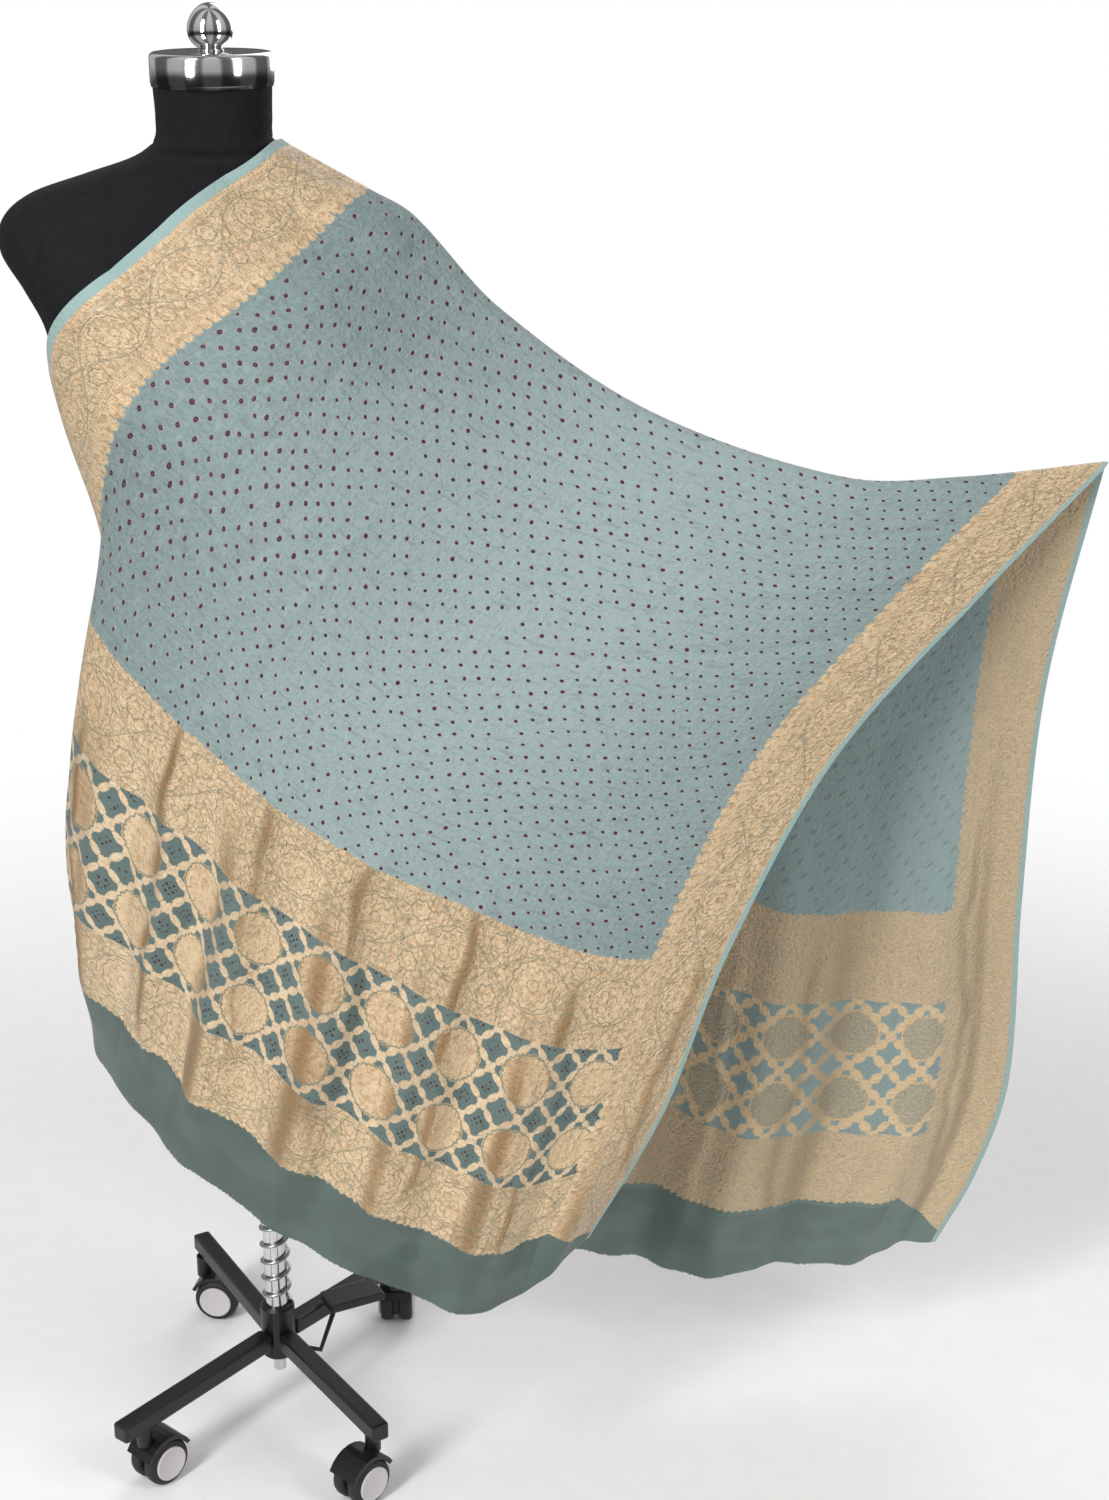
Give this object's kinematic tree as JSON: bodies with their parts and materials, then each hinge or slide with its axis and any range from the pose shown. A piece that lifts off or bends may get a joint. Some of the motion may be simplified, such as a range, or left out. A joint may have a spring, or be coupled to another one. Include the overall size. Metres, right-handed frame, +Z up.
{
  "type": "bandhani cloth on a dress form with a caster stand",
  "caption": "Teal bandhani cloth with gold borders and end panels, folded over one shoulder of a black dress form on a caster stand, its free corner held out to the side.",
  "frame": {"origin": "middle of the part's box on the floor", "axes": "+Z up; the form faces -Y; +X towards the held-out corner of the cloth"},
  "size_m": [1.0556, 0.4164, 1.5146],
  "materials": {
    "teal_silk": "soft silk with a slight sheen, puckered by tie-dyeing, gold woven borders",
    "black_jersey": "matt knitted jersey",
    "chrome": "polished",
    "spring_steel": "bright wire",
    "black_enamel": "semi-gloss black",
    "black_rubber": "matt",
    "pale_plastic": "smooth pale grey"
  },
  "bodies": {
    "root": {"bandhani_cloth": "teal_silk", "form_body": "black_jersey", "neck_cap": "chrome", "cap_knob": "chrome", "pole": "chrome", "pole_tail": "chrome", "pole_spring": "spring_steel", "stand_hub": "black_enamel", "pedal_pad": "black_enamel", "pedal_lever": "black_enamel", "arm_front_left": "black_enamel", "caster_stem_front_left": "black_enamel", "caster_fork_front_left": "black_enamel", "wheel_front_left_inner": "black_rubber", "disc_front_left_inner": "pale_plastic", "wheel_front_left_outer": "black_rubber", "disc_front_left_outer": "pale_plastic", "arm_front_right": "black_enamel", "caster_stem_front_right": "black_enamel", "caster_fork_front_right": "black_enamel", "wheel_front_right_inner": "black_rubber", "disc_front_right_inner": "pale_plastic", "wheel_front_right_outer": "black_rubber", "disc_front_right_outer": "pale_plastic", "arm_rear_left": "black_enamel", "caster_stem_rear_left": "black_enamel", "caster_fork_rear_left": "black_enamel", "wheel_rear_left_inner": "black_rubber", "disc_rear_left_inner": "pale_plastic", "wheel_rear_left_outer": "black_rubber", "disc_rear_left_outer": "pale_plastic", "arm_rear_right": "black_enamel", "caster_stem_rear_right": "black_enamel", "caster_fork_rear_right": "black_enamel", "wheel_rear_right_inner": "black_rubber", "disc_rear_right_inner": "pale_plastic", "wheel_rear_right_outer": "black_rubber", "disc_rear_right_outer": "pale_plastic"}
  },
  "joints": []
}
